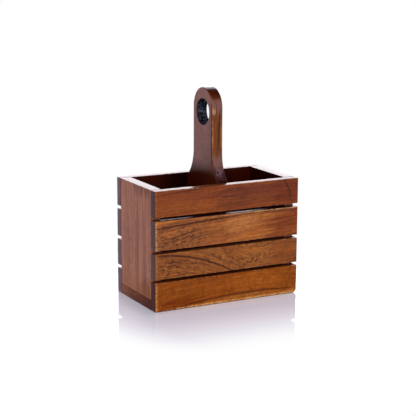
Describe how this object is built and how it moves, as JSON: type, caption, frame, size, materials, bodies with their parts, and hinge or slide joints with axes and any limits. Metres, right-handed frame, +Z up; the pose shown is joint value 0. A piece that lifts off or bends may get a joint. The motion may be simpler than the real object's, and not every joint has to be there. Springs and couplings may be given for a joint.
{
  "type": "slatted utensil caddy",
  "caption": "Slatted wooden caddy with a compartment either side of a middle board that rises as a carrying handle with a round finger hole.",
  "frame": {"origin": "middle of the underside, on the surface that the caddy stands on", "axes": "+Z up through the handle, X along the slats, +Y from the front row of slats to the back row, across the box"},
  "size_m": [0.172, 0.094, 0.226],
  "materials": {
    "bottom_wood": "dark brown lacquered hardwood",
    "end_panel_wood": "muted red-brown lacquered hardwood, grain upright",
    "front_slat_1_wood": "red-brown lacquered hardwood, grain along the slat",
    "front_slat_2_wood": "golden-brown lacquered hardwood, grain along the slat",
    "front_slat_3_wood": "golden-brown lacquered hardwood with dark curved veins",
    "front_slat_4_wood": "orange-brown lacquered hardwood with a dark low vein",
    "back_slat_wood": "brown lacquered hardwood, grain along the slat",
    "handle_wood": "red-brown lacquered hardwood, grain upright, finger hole stained black",
    "brad_steel": "plain drawn steel wire",
    "filler": "hard wax filler tinted to the wood"
  },
  "bodies": {
    "root": {"bottom_board": "bottom_wood", "left_end_panel": "end_panel_wood", "right_end_panel": "end_panel_wood", "front_slat_1": "front_slat_1_wood", "front_slat_2": "front_slat_2_wood", "front_slat_3": "front_slat_3_wood", "front_slat_4": "front_slat_4_wood", "back_slat_1": "back_slat_wood", "back_slat_2": "back_slat_wood", "back_slat_3": "back_slat_wood", "back_slat_4": "back_slat_wood", "divider_handle": "handle_wood", "front_brads": "brad_steel", "back_brads": "brad_steel", "bottom_brads": "brad_steel", "front_fillers": "filler", "back_fillers": "filler", "bottom_fillers": "filler"}
  },
  "joints": []
}
